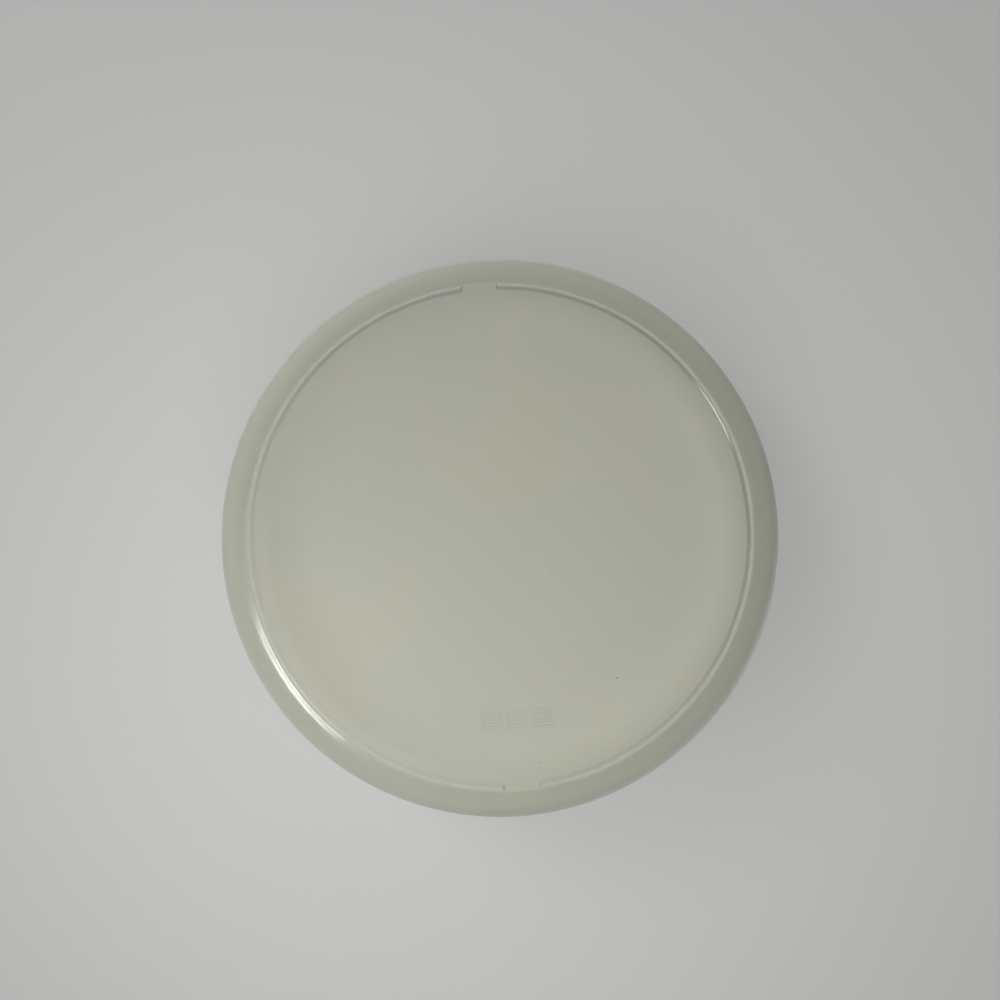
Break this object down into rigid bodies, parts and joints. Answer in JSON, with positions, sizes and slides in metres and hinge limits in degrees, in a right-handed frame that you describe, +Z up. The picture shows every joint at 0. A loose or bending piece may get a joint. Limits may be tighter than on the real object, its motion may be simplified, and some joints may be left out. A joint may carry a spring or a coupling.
{
  "type": "round food storage container",
  "caption": "Shallow round translucent plastic tub with a dished base on a broken foot ring, and a sunk press-on lid with lift tabs, for storing food.",
  "frame": {"origin": "middle of the plane that the foot ring stands on, on the tub's axis", "axes": "+Z up along the tub's axis towards the lid, X through the lid's two lift tabs, Y through the two gaps in the foot ring"},
  "size_m": [0.3036, 0.288, 0.0971],
  "materials": {
    "tub_plastic": "natural translucent polypropylene, slightly yellowed, satin",
    "lid_plastic": "natural translucent polyethylene, matte"
  },
  "bodies": {
    "tub_body": {"tub": "tub_plastic"},
    "lid_body": {"lid": "lid_plastic"}
  },
  "joints": [
    {"name": "lid_lift", "type": "slide", "parent": "tub_body", "child": "lid_body", "axis": [0, 0, 1], "range_m": [0, 0.1]}
  ]
}
